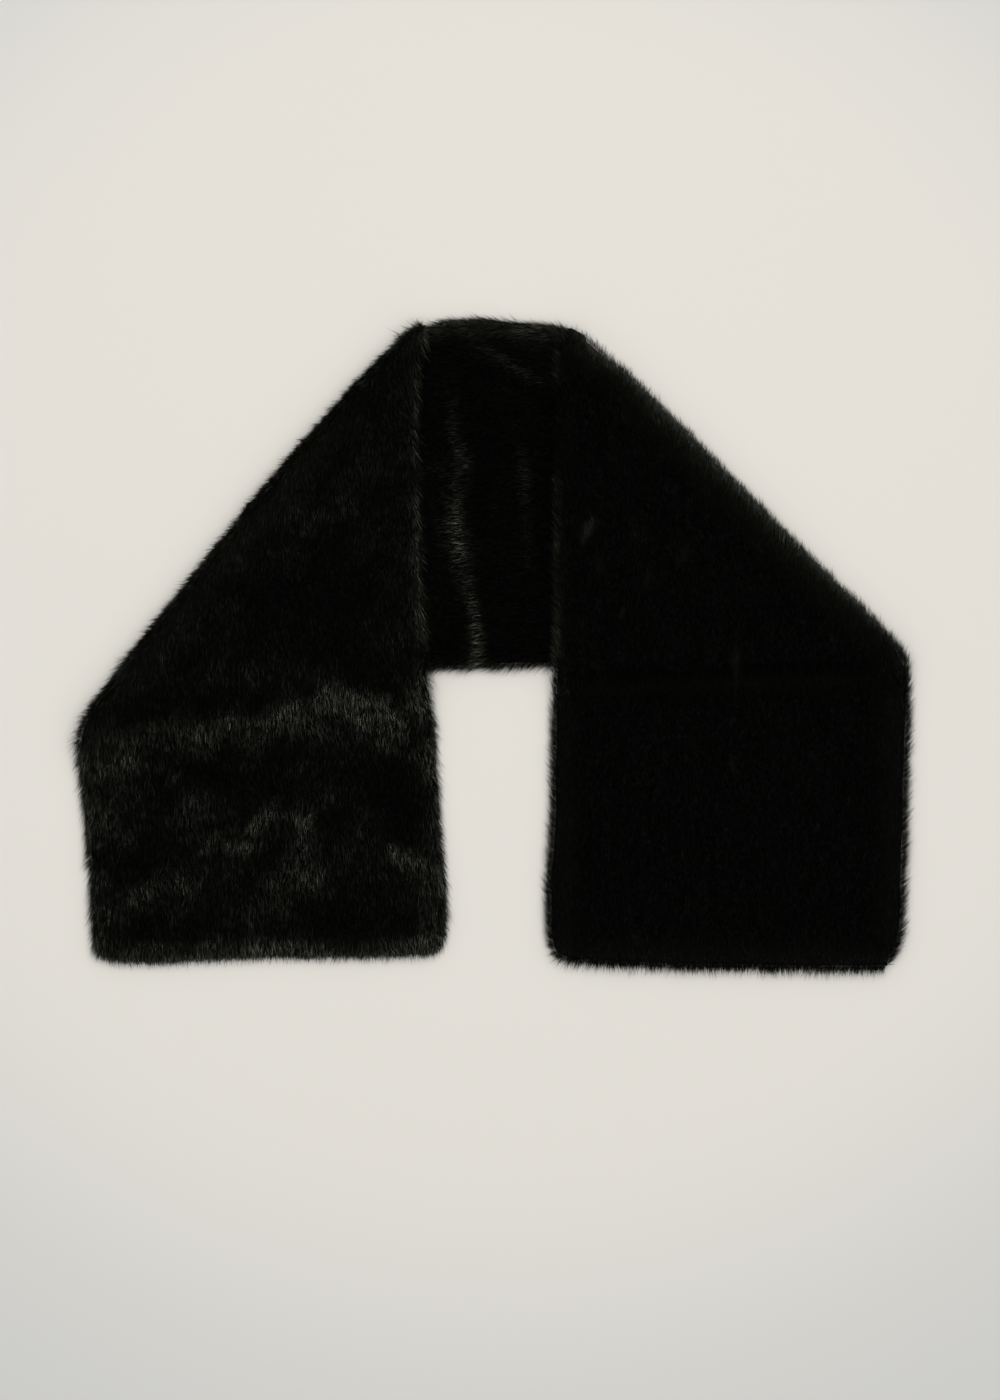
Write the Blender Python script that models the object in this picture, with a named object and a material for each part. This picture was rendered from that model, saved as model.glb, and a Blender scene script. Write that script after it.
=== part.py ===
"""Double-faced black fur collar wrap, laid flat, both fronts folded down over its neck stretch.

Metres, +Z up, with the surface that it lies on at z = 0. The origin is on that surface under the
middle of the wrap. +X runs along its longest side, and +Y from the hems to the neck's top edge.
"""

import math
from collections import namedtuple

import bmesh
import bpy

WRAP_NAME = "fur_collar_wrap"

# One fur face is its backing and its laid pile. Two of them, back to back, are the wrap's cloth.
FACE_THICKNESS = 0.0093
SEAM_GAP = 0.0003
CLOTH_THICKNESS = 2 * FACE_THICKNESS + SEAM_GAP
CLOTH_MIDDLE = CLOTH_THICKNESS / 2
HALF_GAP = SEAM_GAP / 2

# A front's underside lies this high on the neck stretch, and falls to the table past its lower edge.
FRONT_ON_NECK = CLOTH_THICKNESS + SEAM_GAP
DRAPE_START = 0.003
DRAPE_LENGTH = 0.042

# At a fold the outer face wraps round the inner one, which narrows to a thin lip there.
FOLD_LIP = 0.00065
FOLD_ZONE = 0.023
FOLD_FADE = 0.028
ROUND_REACH_AT_FOLD = 0.8
LIP_REACH_AT_FOLD = 0.1
SLANT_REACH = 0.006

# Corner radii, and how far from a curved hem or top edge the rows take to run straight.
TIP_CORNER = 0.007
NECK_LOWER_CORNER = 0.010
NECK_TOP_CORNER = 0.008
HEM_BLEND = 0.16
TIP_BLEND = 0.05

# Rings across a wall: how far in each stands, as a share of its rounded edge.
ROUND_SHARES = (0.0, 0.06, 0.22, 0.5, 1.0)
MIDDLE_SHARES = (0.0, 0.22, 0.48, 0.74, 1.0)
SEWN_MIDDLE_SHARES = (0.0, 1.0)
UNDERSIDE_SHARES = (0.0, 0.1, 0.34, 1.0)
END_SHARES = (0.0, 0.13, 0.42, 1.0)
END_LIP = 0.16
ZONE_FILL = 0.94
HIDDEN_ZONE_FILL = 0.8
SECTION_STEP = 0.0185
SHARP_ANGLE = math.radians(50)

# Neck grid: columns in the stretch between the fronts, and in each hidden stretch beside it.
WINDOW_LEFT = -0.080
WINDOW_RIGHT = 0.072
WINDOW_COLUMNS = 19
WINDOW_MIDDLE_COLUMNS = 6
HIDDEN_COLUMNS = 3
NECK_ROWS = 19

FRONT_TOP_COLUMNS = 13
FRONT_MIDDLE_COLUMNS = 6

# Section across a front: y, then x of its inner edge and of its outer edge, which is the fold
# down to the corner and the sewn edge below it.
Section = namedtuple("Section", "y inner outer")
LEFT_SECTIONS = (
    Section(-0.3205, -0.0450, -0.4000),
    Section(-0.2655, -0.0460, -0.4030),
    Section(-0.2205, -0.0490, -0.4050),
    Section(-0.1755, -0.0530, -0.4090),
    Section(-0.1305, -0.0550, -0.4140),
    Section(-0.1005, -0.0570, -0.4180),
    Section(-0.0855, -0.0580, -0.4170),
    Section(-0.0705, -0.0600, -0.4110),
    Section(-0.0555, -0.0610, -0.3990),
    Section(-0.0305, -0.0640, -0.3800),
    Section(-0.0005, -0.0660, -0.3570),
    Section(0.0445, -0.0690, -0.3210),
    Section(0.1045, -0.0715, -0.2740),
    Section(0.1645, -0.0740, -0.2240),
    Section(0.2245, -0.0750, -0.1730),
    Section(0.2695, -0.0730, -0.1310),
    Section(0.2995, -0.0660, -0.1040),
    Section(0.3145, -0.0630, -0.0910),
)
RIGHT_SECTIONS = (
    Section(-0.3275, 0.0540, 0.3990),
    Section(-0.3155, 0.0540, 0.3995),
    Section(-0.3100, 0.0540, 0.4020),
    Section(-0.3055, 0.0540, 0.4090),
    Section(-0.2955, 0.0540, 0.4095),
    Section(-0.2505, 0.0535, 0.4120),
    Section(-0.1905, 0.0570, 0.4135),
    Section(-0.1305, 0.0590, 0.4150),
    Section(-0.0705, 0.0590, 0.4170),
    Section(-0.0305, 0.0595, 0.4180),
    Section(-0.0155, 0.0610, 0.4170),
    Section(-0.0005, 0.0620, 0.4100),
    Section(0.0145, 0.0625, 0.3960),
    Section(0.0445, 0.0630, 0.3650),
    Section(0.1045, 0.0625, 0.3040),
    Section(0.1645, 0.0635, 0.2450),
    Section(0.2245, 0.0650, 0.1850),
    Section(0.2695, 0.0630, 0.1390),
    Section(0.2845, 0.0625, 0.1230),
    Section(0.2995, 0.0640, 0.1040),
    Section(0.3145, 0.0700, 0.0900),
)

# Free edges that run across the page, from left to right.
EdgePoint = namedtuple("EdgePoint", "x y")
LEFT_HEM = (
    EdgePoint(-0.400, -0.3150),
    EdgePoint(-0.383, -0.3190),
    EdgePoint(-0.338, -0.3210),
    EdgePoint(-0.293, -0.3185),
    EdgePoint(-0.203, -0.3155),
    EdgePoint(-0.143, -0.3155),
    EdgePoint(-0.083, -0.3135),
    EdgePoint(-0.045, -0.3115),
)
RIGHT_HEM = (
    EdgePoint(0.054, -0.3175),
    EdgePoint(0.087, -0.3205),
    EdgePoint(0.147, -0.3235),
    EdgePoint(0.177, -0.3255),
    EdgePoint(0.237, -0.3250),
    EdgePoint(0.327, -0.3280),
    EdgePoint(0.387, -0.3265),
    EdgePoint(0.399, -0.3255),
)
NECK_TOP_EDGE = (
    EdgePoint(-0.094, 0.3115),
    EdgePoint(-0.083, 0.3175),
    EdgePoint(-0.068, 0.3220),
    EdgePoint(-0.053, 0.3255),
    EdgePoint(-0.033, 0.3270),
    EdgePoint(-0.013, 0.3275),
    EdgePoint(0.007, 0.3250),
    EdgePoint(0.027, 0.3230),
    EdgePoint(0.047, 0.3220),
    EdgePoint(0.067, 0.3200),
    EdgePoint(0.081, 0.3170),
    EdgePoint(0.091, 0.3105),
)
NECK_LOWER_EDGE = (
    EdgePoint(-0.411, -0.0750),
    EdgePoint(-0.343, -0.0660),
    EdgePoint(-0.243, -0.0515),
    EdgePoint(-0.153, -0.0385),
    EdgePoint(-0.065, -0.0270),
    EdgePoint(-0.033, -0.0255),
    EdgePoint(0.007, -0.0240),
    EdgePoint(0.060, -0.0225),
    EdgePoint(0.157, -0.0175),
    EdgePoint(0.287, -0.0110),
    EdgePoint(0.417, -0.0060),
)

# Soft ridges, and troughs where the height is negative, each along a line of such points.
FoldPoint = namedtuple("FoldPoint", "x y half_width height")
NECK_FOLDS = (
    (
        FoldPoint(-0.031, 0.275, 0.009, 0.0012),
        FoldPoint(-0.028, 0.205, 0.011, 0.0032),
        FoldPoint(-0.017, 0.181, 0.014, 0.0042),
        FoldPoint(-0.025, 0.145, 0.014, 0.0044),
        FoldPoint(-0.028, 0.114, 0.012, 0.0040),
        FoldPoint(-0.020, 0.076, 0.009, 0.0034),
        FoldPoint(-0.012, 0.051, 0.009, 0.0032),
        FoldPoint(-0.005, -0.020, 0.009, 0.0030),
    ),
    (
        FoldPoint(-0.068, 0.181, 0.008, 0.0010),
        FoldPoint(-0.030, 0.184, 0.009, 0.0018),
    ),
    (
        FoldPoint(0.041, 0.192, 0.009, 0.0014),
        FoldPoint(0.037, 0.130, 0.009, 0.0022),
        FoldPoint(0.040, 0.074, 0.009, 0.0012),
    ),
    (
        FoldPoint(-0.018, 0.315, 0.011, 0.0026),
        FoldPoint(0.000, 0.297, 0.011, 0.0038),
        FoldPoint(0.021, 0.282, 0.010, 0.0040),
        FoldPoint(0.046, 0.269, 0.009, 0.0034),
        FoldPoint(0.061, 0.259, 0.009, 0.0026),
    ),
)
LEFT_FOLDS = (
    (
        FoldPoint(-0.377, -0.246, 0.016, 0.0016),
        FoldPoint(-0.340, -0.233, 0.017, 0.0024),
        FoldPoint(-0.288, -0.204, 0.016, 0.0018),
    ),
    (
        FoldPoint(-0.242, -0.158, 0.017, 0.0022),
        FoldPoint(-0.222, -0.170, 0.017, 0.0022),
    ),
    (
        FoldPoint(-0.189, -0.154, 0.016, 0.0020),
        FoldPoint(-0.180, -0.188, 0.018, 0.0030),
        FoldPoint(-0.200, -0.216, 0.018, 0.0030),
        FoldPoint(-0.226, -0.234, 0.016, 0.0018),
    ),
    (
        FoldPoint(-0.101, -0.191, 0.015, 0.0020),
        FoldPoint(-0.070, -0.214, 0.014, 0.0020),
    ),
    (
        FoldPoint(-0.119, -0.118, 0.021, -0.0024),
        FoldPoint(-0.074, -0.168, 0.019, -0.0024),
    ),
    (
        FoldPoint(-0.206, -0.250, 0.018, -0.0020),
        FoldPoint(-0.104, -0.278, 0.018, -0.0020),
    ),
    (
        FoldPoint(-0.392, -0.198, 0.016, -0.0020),
        FoldPoint(-0.332, -0.218, 0.016, -0.0020),
    ),
    (
        FoldPoint(-0.178, 0.108, 0.026, -0.0022),
        FoldPoint(-0.122, 0.010, 0.026, -0.0022),
    ),
)
RIGHT_FOLDS = (
    (
        FoldPoint(0.100, 0.112, 0.020, 0.0018),
        FoldPoint(0.156, 0.056, 0.020, 0.0018),
    ),
    (
        FoldPoint(0.246, -0.018, 0.014, 0.0016),
        FoldPoint(0.242, -0.048, 0.014, 0.0016),
        FoldPoint(0.222, -0.124, 0.016, 0.0010),
    ),
    (
        FoldPoint(0.110, -0.200, 0.026, -0.0018),
        FoldPoint(0.230, -0.246, 0.028, -0.0020),
    ),
    (
        FoldPoint(0.300, -0.130, 0.026, 0.0016),
        FoldPoint(0.372, -0.220, 0.026, 0.0016),
    ),
)

Front = namedtuple("Front", "name sections hem tip inner_corner outer_corner folds")
FRONTS = (
    Front("left_front", LEFT_SECTIONS, LEFT_HEM, (-0.091, -0.062), 0.021, 0.011, LEFT_FOLDS),
    Front("right_front", RIGHT_SECTIONS, RIGHT_HEM, (0.068, 0.090), 0.021, 0.003, RIGHT_FOLDS),
)

Fur = namedtuple("Fur", "color roughness")
OUTER_FUR = Fur((0.0075, 0.0072, 0.0064), 0.62)
INNER_FUR = Fur((0.0090, 0.0088, 0.0078), 0.60)


def mix(first, second, share):
    return first + (second - first) * share


def limited(value):
    return min(max(value, 0.0), 1.0)


def eased(share):
    """Smooth step from 0 to 1."""
    share = limited(share)
    return share * share * (3 - 2 * share)


def rounded(share):
    """Rise of a quarter circle from 0 at the edge to 1."""
    return math.sqrt(1 - (1 - limited(share)) ** 2)


def slopes(points):
    """Slope at each (position, value) point that keeps the curve through them from overshooting."""
    steps = []
    for (start, low), (end, high) in zip(points, points[1:]):
        steps.append((high - low) / (end - start))
    found = [steps[0]]
    for before, after in zip(steps, steps[1:]):
        same_way = before * after > 0
        found.append(2 * before * after / (before + after) if same_way else 0.0)
    found.append(steps[-1])
    return found


def curve_value(points, position):
    """Value at a position on the smooth curve through (position, value) points."""
    position = min(max(position, points[0][0]), points[-1][0])
    index = 0
    while index < len(points) - 2 and position > points[index + 1][0]:
        index += 1
    (start, low), (end, high) = points[index], points[index + 1]
    length = end - start
    share = (position - start) / length
    tangents = slopes(points)
    ease = eased(share)
    lead_in = share * (1 - share) ** 2 * length * tangents[index]
    lead_out = share * share * (1 - share) * length * tangents[index + 1]
    return mix(low, high, ease) + lead_in - lead_out


def inner_x(sections, y):
    return curve_value([(section.y, section.inner) for section in sections], y)


def outer_x(sections, y):
    return curve_value([(section.y, section.outer) for section in sections], y)


def slant(sections, y):
    """Length along a section that crosses one unit at right angles to the outer edge."""
    run = outer_x(sections, y + SLANT_REACH) - outer_x(sections, y - SLANT_REACH)
    return math.hypot(1, run / (2 * SLANT_REACH))


def relief(folds, x, y):
    """Height that the soft ridges and troughs add at a point."""
    total = 0.0
    for line in folds:
        best = None
        for start, end in zip(line, line[1:]):
            run_x = end.x - start.x
            run_y = end.y - start.y
            along = ((x - start.x) * run_x + (y - start.y) * run_y) / (run_x**2 + run_y**2)
            along = limited(along)
            aside = math.hypot(x - start.x - along * run_x, y - start.y - along * run_y)
            if best is None or aside < best[0]:
                half_width = mix(start.half_width, end.half_width, along)
                best = (aside, half_width, mix(start.height, end.height, along))
        aside, half_width, height = best
        total += height * math.exp(-((aside / half_width) ** 2))
    return total


def front_base(x, y):
    """Height of a front's underside, on the neck stretch and down past its lower edge."""
    below = curve_value(NECK_LOWER_EDGE, x) - y - DRAPE_START
    return FRONT_ON_NECK * (1 - eased(below / DRAPE_LENGTH))


def corner_inset(radius, distance):
    """How far a rounded corner pulls a side in, at a distance from the end."""
    if distance >= radius:
        return 0.0
    return radius - math.sqrt(radius**2 - (radius - distance) ** 2)


def shares_to_places(start, end, start_zone, end_zone, start_shares, end_shares, between):
    """Places from start to end, close together in the zone at each end and even between them."""
    places = [start + start_zone * share for share in start_shares]
    last = end + end_zone
    first = start + start_zone
    places += [mix(first, last, (step + 1) / (between + 1)) for step in range(between)]
    places += [end + end_zone * share for share in reversed(end_shares)]
    return places


Strip = namedtuple("Strip", "y_at start end start_zone end_zone end_rise fold_share")


def front_strips(front):
    """Strips across a front from its hem to its tip, each with its ends and its edge zones."""
    hem_level = sum(point.y for point in front.hem) / len(front.hem)
    tip_points = [curve_value(NECK_TOP_EDGE, x) for x in front.tip]
    tip_level = sum(tip_points) / len(tip_points)
    length = tip_level - hem_level
    rises = [CLOTH_MIDDLE * share for share in END_SHARES]
    body = round((length - 2 * CLOTH_MIDDLE) / SECTION_STEP)
    heights = list(rises)
    for step in range(1, body):
        heights.append(mix(rises[-1], length - rises[-1], step / body))
    heights += [length - rise for rise in reversed(rises)]
    strips = []
    for height in heights:
        to_tip = length - height
        level = hem_level + height
        outward = math.copysign(1, front.sections[0].outer)
        inset_out = corner_inset(front.outer_corner, height) + corner_inset(TIP_CORNER, to_tip)
        inset_in = corner_inset(front.inner_corner, height) + corner_inset(TIP_CORNER, to_tip)
        outer = outer_x(front.sections, level) - outward * inset_out
        inner = inner_x(front.sections, level) + outward * inset_in

        def y_at(x, height=height, to_tip=to_tip, level=level):
            hem_shift = curve_value(front.hem, x) - hem_level
            tip_shift = curve_value(NECK_TOP_EDGE, x) - tip_level
            near_hem = 1 - eased(height / HEM_BLEND)
            near_tip = 1 - eased(to_tip / TIP_BLEND)
            return level + hem_shift * near_hem + tip_shift * near_tip

        fold_share = limited(front_base(outer, level) / FRONT_ON_NECK)
        fold_zone = mix(CLOTH_MIDDLE, FOLD_ZONE, fold_share) * slant(front.sections, level)
        room = abs(outer - inner) * ZONE_FILL
        squeeze = min(1.0, room / (fold_zone + CLOTH_MIDDLE))
        rise = max(rounded(min(height, to_tip) / CLOTH_MIDDLE), END_LIP)
        strips.append(
            Strip(
                y_at,
                outer,
                inner,
                -outward * fold_zone * squeeze,
                outward * CLOTH_MIDDLE * squeeze,
                rise,
                fold_share,
            )
        )
    return strips


def seam_height(fold_share):
    """Height of the seam between the two faces at the edge, above the cloth's inner side."""
    return mix(CLOTH_MIDDLE, FOLD_LIP, fold_share)


def middle_height(strip, x):
    """Height of the surface between the two faces, above the cloth's inner side."""
    rim = seam_height(strip.fold_share)
    share = (x - strip.start) / strip.start_zone
    return mix(rim, CLOTH_MIDDLE, eased(share))


def edge_rise(strip, x, start_reach, end_reach):
    """Rise of a rounded surface at x, from the strip's two edges."""
    from_start = rounded((x - strip.start) / (strip.start_zone * start_reach))
    from_end = rounded((x - strip.end) / (strip.end_zone * end_reach))
    return min(from_start, from_end)


def front_walls(front):
    """Upper and under face of a front, each as its grid of top points and of bottom points."""
    upper_top = []
    upper_bottom = []
    under_top = []
    under_bottom = []
    for strip in front_strips(front):
        ends = (strip.start, strip.end, strip.start_zone, strip.end_zone)
        round_reach = mix(1.0, ROUND_REACH_AT_FOLD, strip.fold_share)

        def top_point(x):
            y = strip.y_at(x)
            seam = front_base(x, y) + middle_height(strip, x) + HALF_GAP
            full = front_base(x, y) + CLOTH_THICKNESS + relief(front.folds, x, y)
            rise = edge_rise(strip, x, round_reach, 1.0) * strip.end_rise
            return (x, y, mix(seam, full, rise))

        def middle_point(x, side):
            y = strip.y_at(x)
            return (x, y, front_base(x, y) + middle_height(strip, x) + side * HALF_GAP)

        def bottom_point(x):
            y = strip.y_at(x)
            base = front_base(x, y)
            seam = base + middle_height(strip, x) - HALF_GAP
            under_reach = mix(1.0, LIP_REACH_AT_FOLD, strip.fold_share)
            rise = edge_rise(strip, x, under_reach, 1.0) * strip.end_rise
            return (x, y, mix(seam, base, rise))

        top_places = shares_to_places(*ends, ROUND_SHARES, ROUND_SHARES, FRONT_TOP_COLUMNS)
        middle_places = shares_to_places(
            *ends, MIDDLE_SHARES, SEWN_MIDDLE_SHARES, FRONT_MIDDLE_COLUMNS
        )
        bottom_places = shares_to_places(
            *ends, UNDERSIDE_SHARES, UNDERSIDE_SHARES, FRONT_MIDDLE_COLUMNS
        )
        upper_top.append([top_point(x) for x in top_places])
        upper_bottom.append([middle_point(x, 1) for x in middle_places])
        under_top.append([middle_point(x, -1) for x in middle_places])
        under_bottom.append([bottom_point(x) for x in bottom_places])
    return (upper_top, upper_bottom), (under_top, under_bottom)


NeckRow = namedtuple("NeckRow", "y_at left right left_zone right_zone end_rise fold_share")


def neck_rows():
    """Rows along the neck stretch from its lower edge to its top edge, from fold to fold."""
    low_left = NECK_LOWER_EDGE[0]
    low_right = NECK_LOWER_EDGE[-1]
    top_left = NECK_TOP_EDGE[0]
    top_right = NECK_TOP_EDGE[-1]
    depth = curve_value(NECK_TOP_EDGE, 0.0) - curve_value(NECK_LOWER_EDGE, 0.0)
    rises = [CLOTH_MIDDLE * share for share in END_SHARES]
    heights = list(rises)
    body = NECK_ROWS - len(rises)
    for step in range(1, body):
        heights.append(mix(rises[-1], depth - rises[-1], step / body))
    heights += [depth - rise for rise in reversed(rises)]
    rows = []
    for height in heights:
        share = height / depth
        edge_distance = min(height, depth - height)
        left_y = mix(low_left.y, top_left.y, share)
        right_y = mix(low_right.y, top_right.y, share)
        inset = corner_inset(NECK_LOWER_CORNER, height)
        inset += corner_inset(NECK_TOP_CORNER, depth - height)
        left = outer_x(LEFT_SECTIONS, left_y) + inset * slant(LEFT_SECTIONS, left_y)
        right = outer_x(RIGHT_SECTIONS, right_y) - inset * slant(RIGHT_SECTIONS, right_y)

        def y_at(x, share=share, left=left, right=right, left_y=left_y, right_y=right_y):
            along = (x - left) / (right - left)
            low_x = mix(low_left.x, low_right.x, along)
            top_x = mix(top_left.x, top_right.x, along)
            low_bow = curve_value(NECK_LOWER_EDGE, low_x) - mix(low_left.y, low_right.y, along)
            top_bow = curve_value(NECK_TOP_EDGE, top_x) - mix(top_left.y, top_right.y, along)
            return mix(left_y, right_y, along) + mix(low_bow, top_bow, share)

        fold_share = eased(edge_distance / FOLD_FADE)
        zone = mix(CLOTH_MIDDLE, FOLD_ZONE, fold_share)
        left_room = (WINDOW_LEFT - left) * HIDDEN_ZONE_FILL
        right_room = (right - WINDOW_RIGHT) * HIDDEN_ZONE_FILL
        left_zone = min(zone * slant(LEFT_SECTIONS, left_y), left_room)
        right_zone = min(zone * slant(RIGHT_SECTIONS, right_y), right_room)
        rise = max(rounded(edge_distance / CLOTH_MIDDLE), END_LIP)
        rows.append(NeckRow(y_at, left, right, left_zone, right_zone, rise, fold_share))
    return rows


def neck_places(row, shares, window_columns):
    places = [row.left + row.left_zone * share for share in shares]
    for step in range(1, HIDDEN_COLUMNS):
        places.append(mix(row.left + row.left_zone, WINDOW_LEFT, step / HIDDEN_COLUMNS))
    for step in range(window_columns + 1):
        places.append(mix(WINDOW_LEFT, WINDOW_RIGHT, step / window_columns))
    for step in range(1, HIDDEN_COLUMNS):
        places.append(mix(WINDOW_RIGHT, row.right - row.right_zone, step / HIDDEN_COLUMNS))
    places += [row.right - row.right_zone * share for share in reversed(shares)]
    return places


def neck_middle(row, x):
    """Height of the surface between the neck's two faces. It turns up at both folds."""
    rim = CLOTH_THICKNESS - seam_height(row.fold_share)
    share = min((x - row.left) / row.left_zone, (row.right - x) / row.right_zone)
    return mix(rim, CLOTH_MIDDLE, eased(share))


def neck_edge_rise(row, x, reach):
    from_left = (x - row.left) / (row.left_zone * reach)
    from_right = (row.right - x) / (row.right_zone * reach)
    return rounded(min(from_left, from_right))


def neck_walls():
    """Upper and under face of the neck stretch, each as its grids of top and of bottom points."""
    upper_top = []
    upper_bottom = []
    under_top = []
    under_bottom = []
    for row in neck_rows():

        def top_point(x):
            y = row.y_at(x)
            seam = neck_middle(row, x) + HALF_GAP
            full = CLOTH_THICKNESS + relief(NECK_FOLDS, x, y)
            reach = mix(1.0, LIP_REACH_AT_FOLD, row.fold_share)
            rise = neck_edge_rise(row, x, reach) * row.end_rise
            return (x, y, mix(seam, full, rise))

        def middle_point(x, side):
            return (x, row.y_at(x), neck_middle(row, x) + side * HALF_GAP)

        def bottom_point(x):
            seam = neck_middle(row, x) - HALF_GAP
            reach = mix(1.0, ROUND_REACH_AT_FOLD, row.fold_share)
            rise = neck_edge_rise(row, x, reach) * row.end_rise
            return (x, row.y_at(x), mix(seam, 0.0, rise))

        top_places = neck_places(row, UNDERSIDE_SHARES, WINDOW_COLUMNS)
        middle_places = neck_places(row, MIDDLE_SHARES, WINDOW_MIDDLE_COLUMNS)
        bottom_places = neck_places(row, ROUND_SHARES, WINDOW_MIDDLE_COLUMNS)
        upper_top.append([top_point(x) for x in top_places])
        upper_bottom.append([middle_point(x, 1) for x in middle_places])
        under_top.append([middle_point(x, -1) for x in middle_places])
        under_bottom.append([bottom_point(x) for x in bottom_places])
    return (upper_top, upper_bottom), (under_top, under_bottom)


def stitch_end(mesh, top, bottom):
    """Closes a wall between the top and bottom points of its first or last row."""
    mesh.faces.new((top[0], top[1], bottom[1]))
    upper = 1
    lower = 1
    while upper < len(top) - 2 or lower < len(bottom) - 2:
        top_next = upper < len(top) - 2
        if top_next and lower < len(bottom) - 2:
            reach = abs(top[upper + 1].co.x - top[0].co.x)
            top_next = reach <= abs(bottom[lower + 1].co.x - top[0].co.x)
        if top_next:
            mesh.faces.new((top[upper], top[upper + 1], bottom[lower]))
            upper += 1
        else:
            mesh.faces.new((top[upper], bottom[lower + 1], bottom[lower]))
            lower += 1
    mesh.faces.new((top[upper], top[-1], bottom[lower]))


def cover(mesh, rows):
    """Fills a grid of points, with each patch split the same way in facing surfaces."""
    for row, next_row in zip(rows, rows[1:]):
        for column in range(len(row) - 1):
            near = row[column]
            near_next = row[column + 1]
            far = next_row[column]
            far_next = next_row[column + 1]
            mesh.faces.new((near, near_next, far_next))
            mesh.faces.new((near, far_next, far))


def add_wall(name, grids, fur, collection):
    """Closed wall lofted between its top and bottom grids, whose rows share their end points."""
    top_grid, bottom_grid = grids
    mesh = bmesh.new()
    top_rows = [[mesh.verts.new(point) for point in row] for row in top_grid]
    bottom_rows = []
    for top_row, row in zip(top_rows, bottom_grid):
        inside = [mesh.verts.new(point) for point in row[1:-1]]
        bottom_rows.append([top_row[0], *inside, top_row[-1]])
    cover(mesh, top_rows)
    cover(mesh, bottom_rows)
    stitch_end(mesh, top_rows[0], bottom_rows[0])
    stitch_end(mesh, top_rows[-1], bottom_rows[-1])
    bmesh.ops.recalc_face_normals(mesh, faces=mesh.faces)
    data = bpy.data.meshes.new(name)
    mesh.to_mesh(data)
    mesh.free()
    data.materials.append(fur_material(name, fur))
    data.shade_smooth()
    data.set_sharp_from_angle(angle=SHARP_ANGLE)
    wall = bpy.data.objects.new(name, data)
    collection.objects.link(wall)
    return wall


def fur_material(name, fur):
    material = bpy.data.materials.new(name + "_fur")
    material.use_nodes = True
    shader = material.node_tree.nodes["Principled BSDF"]
    shader.inputs["Base Color"].default_value = (*fur.color, 1)
    shader.inputs["Roughness"].default_value = fur.roughness
    shader.inputs["Metallic"].default_value = 0.0
    material.diffuse_color = (*fur.color, 1)
    return material


def main():
    for old in list(bpy.data.objects):
        bpy.data.objects.remove(old)
    collection = bpy.data.collections.new(WRAP_NAME)
    bpy.context.scene.collection.children.link(collection)
    upper, under = neck_walls()
    add_wall("neck_upper_face", upper, INNER_FUR, collection)
    add_wall("neck_under_face", under, OUTER_FUR, collection)
    for front in FRONTS:
        upper, under = front_walls(front)
        add_wall(front.name + "_upper_face", upper, OUTER_FUR, collection)
        add_wall(front.name + "_under_face", under, INNER_FUR, collection)


main()
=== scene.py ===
"""Looks of the black fur collar wrap, laid flat and seen from straight above.

Each fur face is a thin hide on its solid's outer side, and three coats of modelled hair that lie
along the nap: a short undercoat, longer guard hair, and a fringe that is crowded at the edges.
Metres, in the frame's own axes.
"""

import math
from collections import namedtuple

import bmesh
import bpy
import numpy as np
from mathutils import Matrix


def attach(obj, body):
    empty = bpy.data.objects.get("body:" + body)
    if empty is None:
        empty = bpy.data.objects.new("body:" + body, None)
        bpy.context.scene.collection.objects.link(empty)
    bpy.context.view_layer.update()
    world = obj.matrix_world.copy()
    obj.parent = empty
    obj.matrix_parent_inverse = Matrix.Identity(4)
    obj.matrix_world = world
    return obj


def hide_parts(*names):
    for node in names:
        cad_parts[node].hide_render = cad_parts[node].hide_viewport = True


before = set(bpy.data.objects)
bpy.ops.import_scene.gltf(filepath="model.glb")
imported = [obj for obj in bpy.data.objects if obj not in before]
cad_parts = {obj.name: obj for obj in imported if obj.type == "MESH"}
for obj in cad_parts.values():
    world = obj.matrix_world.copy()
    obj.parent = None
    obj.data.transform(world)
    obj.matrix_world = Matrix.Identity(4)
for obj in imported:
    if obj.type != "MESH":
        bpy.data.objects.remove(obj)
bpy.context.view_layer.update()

# Camera: straight above, with the photograph's 1.0 by 1.4 m of table in its frame.
VIEW_HEIGHT = 7.0
VIEW_LEVEL = 0.014
VIEW_CENTRE = (0.0070, -0.0555)
FRAME_HEIGHT = 1.4
SENSOR_HEIGHT = 36.0
VIEW_REACH = 50

# Hide: how far it lies under the solid's surface, its thickness, how near two points are to be
# one, how far a face may turn away from its side, and the angle under which triangles are joined.
HIDE_INSET = 0.0042
HIDE_THICKNESS = 0.0012
WELD = 0.00002
OUTER_LIMIT = -0.2
JOIN_ANGLE = math.radians(50)
# Nothing lies lower than this above the table, and the lowest hairs are spread over a little more.
FLOOR_CLEARANCE = 0.0005
FLOOR_SPREAD = 0.0004
# No hide lies higher than this above the table, which keeps its corners flat.
HIDE_TOP = 0.0362

# Under-layers stop short of the folds, and the neck stretch stops under the fronts: a point of
# each line where they are cut, in plan, and the direction away from what is kept.
LEFT_FOLD_CUT = ((-0.3995, -0.0801), (-0.770, 0.638))
RIGHT_FOLD_CUT = ((0.4068, -0.0170), (0.696, 0.718))
NECK_CUTS = (
    ((-0.100, 0.0), (-1, 0)),
    ((0.092, 0.0), (1, 0)),
    ((-0.4064, -0.0744), (-0.770, 0.638)),
    ((0.4145, -0.0091), (0.696, 0.718)),
)
# The right front's hide is cut here because its nap runs out over its top corner.
RIGHT_TOP_CUT = ((0.0, 0.3055), (0, 1))

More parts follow.
